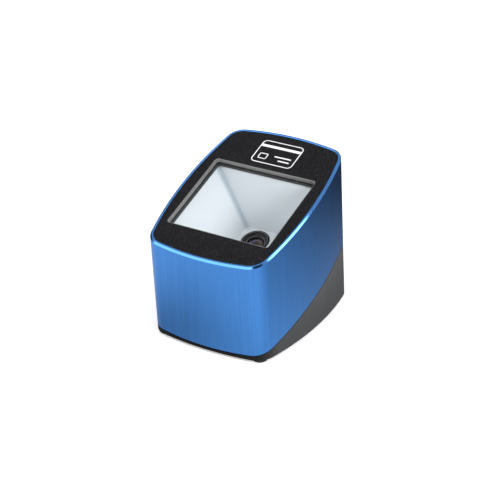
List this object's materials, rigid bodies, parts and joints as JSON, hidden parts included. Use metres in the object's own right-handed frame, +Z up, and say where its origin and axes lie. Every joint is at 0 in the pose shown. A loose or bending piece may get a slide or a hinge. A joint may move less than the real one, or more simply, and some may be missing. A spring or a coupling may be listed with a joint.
{
  "type": "rfid card reader",
  "caption": "Desktop contactless card and code reader: wedge-topped metal box with a black tilted panel, glass window, white light funnel and camera lens.",
  "frame": {"origin": "on the table, midway between the four rubber feet", "axes": "+X to the right seen from the low front, +Y to the high back, +Z up; the panel rises towards +Y"},
  "size_m": [0.08, 0.093, 0.086],
  "materials": {
    "blue_anodised": "blue anodised, brushed from top to bottom, with a bright cut bevel at the rim",
    "black_panel": "fine matte texture",
    "black_tape": "thin bonding tape",
    "white_ink": "flat white printed ink",
    "clear_glass": "clear flat glass",
    "grey_foam": "closed-cell foam",
    "white_diffuser": "satin white moulding",
    "zinc_screw": "zinc-plated",
    "black_metal": "black anodised, turned",
    "coated_glass": "glass with a violet anti-reflection coating",
    "black_plastic": "black glass-filled moulding",
    "filter_glass": "cyan filter glass",
    "sensor_black": "dark sensor package",
    "green_board": "green solder mask",
    "lamp_white": "lamp package with a pale yellow window",
    "brass_spacer": "turned brass",
    "ferrite_grey": "flexible magnetic sheet",
    "copper_foil": "etched copper foil",
    "chip_black": "moulded black package",
    "steel_can": "plated steel",
    "capacitor_alu": "plain can",
    "socket_cream": "cream moulding",
    "ribbon_white": "flat flexible cable",
    "lead_black": "insulated lead",
    "grey_plastic": "fine spark-eroded texture",
    "black_rubber": "soft rubber",
    "label_grey": "plain label film with nothing printed on it"
  },
  "bodies": {
    "root": {"shell_sleeve": "blue_anodised", "top_panel": "black_panel", "panel_tape": "black_tape", "panel_symbol": "white_ink", "window_glass": "clear_glass", "window_gasket": "grey_foam", "light_reflector": "white_diffuser", "reflector_screws": "zinc_screw", "lens_barrel": "black_metal", "lens_retaining_ring": "black_metal", "lens_front_element": "coated_glass", "lens_rear_element": "coated_glass", "lens_holder": "black_plastic", "infrared_filter": "filter_glass", "image_sensor": "sensor_black", "camera_board": "green_board", "light_board": "green_board", "light_leds": "lamp_white", "board_spacers": "brass_spacer", "camera_screws": "zinc_screw", "inner_frame": "black_plastic", "ferrite_sheet": "ferrite_grey", "antenna_board": "green_board", "antenna_coil": "copper_foil", "main_board": "green_board", "processor_chip": "chip_black", "memory_chip": "chip_black", "radio_chip": "chip_black", "crystal_cans": "steel_can", "capacitors": "capacitor_alu", "buzzer": "black_plastic", "board_screws": "zinc_screw", "ribbon_sockets": "socket_cream", "camera_ribbon": "ribbon_white", "light_lead": "lead_black", "antenna_lead": "lead_black", "socket_shell": "steel_can", "socket_tongue": "chip_black", "base_tray": "grey_plastic", "case_screws": "zinc_screw", "rubber_feet": "black_rubber", "blank_label": "label_grey"}
  },
  "joints": []
}
